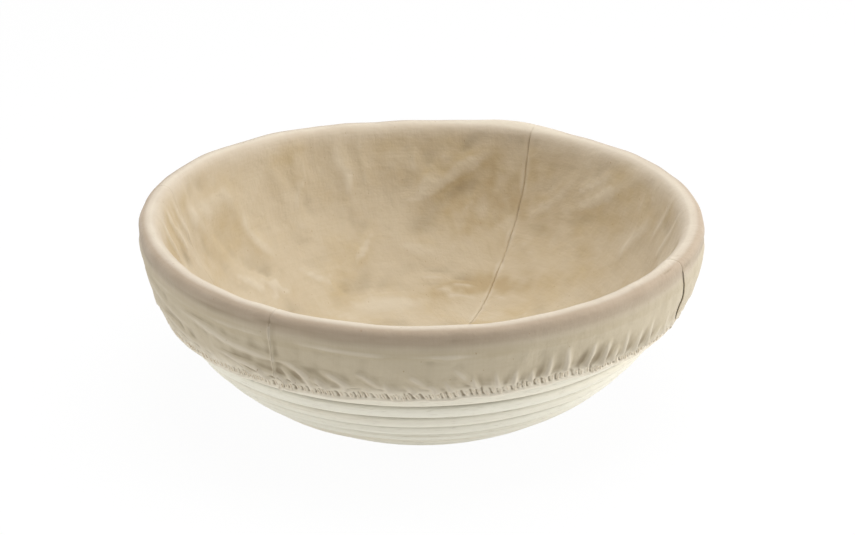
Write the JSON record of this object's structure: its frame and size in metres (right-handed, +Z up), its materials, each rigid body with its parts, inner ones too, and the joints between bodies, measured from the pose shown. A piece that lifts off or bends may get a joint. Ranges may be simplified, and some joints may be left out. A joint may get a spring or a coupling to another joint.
{
  "type": "proofing basket",
  "caption": "Round bread proofing basket wound from rattan cane, with a removable cloth liner folded over its rim and gathered by an elastic hem.",
  "frame": {"origin": "middle of the base, on the plane that the basket stands on", "axes": "+Z up along the bowl's axis, -Y towards the side that the picture shows in front, +X to its right"},
  "size_m": [0.2496, 0.2496, 0.0847],
  "materials": {
    "cane": "bare peeled rattan core, satin",
    "brad": "bright drawn wire",
    "liner_cloth": "undyed plain-woven cotton and linen",
    "elastic": "covered rubber tape, matte"
  },
  "bodies": {
    "basket": {"base_cane": "cane", "lower_wall_cane": "cane", "upper_wall_cane": "cane", "brad_01": "brad", "brad_02": "brad", "brad_03": "brad", "brad_04": "brad", "brad_05": "brad", "brad_06": "brad", "brad_07": "brad", "brad_08": "brad", "brad_09": "brad", "brad_10": "brad", "brad_11": "brad", "brad_12": "brad", "brad_13": "brad", "brad_14": "brad", "brad_15": "brad", "brad_16": "brad", "brad_17": "brad", "brad_18": "brad", "brad_19": "brad", "brad_20": "brad", "brad_21": "brad", "brad_22": "brad", "brad_23": "brad", "brad_24": "brad", "brad_25": "brad", "brad_26": "brad", "brad_27": "brad", "brad_28": "brad", "brad_29": "brad", "brad_30": "brad", "brad_31": "brad", "brad_32": "brad", "brad_33": "brad", "brad_34": "brad", "brad_35": "brad", "brad_36": "brad", "brad_37": "brad", "brad_38": "brad", "brad_39": "brad", "brad_40": "brad"},
    "liner": {"liner_gore_1": "liner_cloth", "liner_gore_2": "liner_cloth", "liner_gore_3": "liner_cloth", "liner_gore_4": "liner_cloth", "hem_elastic": "elastic"}
  },
  "joints": [
    {"name": "liner_lift", "type": "slide", "parent": "basket", "child": "liner", "axis": [0, 0, 1], "range_m": [0, 0.09], "deforming": ["liner_gore_1", "liner_gore_2", "liner_gore_3", "liner_gore_4", "hem_elastic"]}
  ]
}
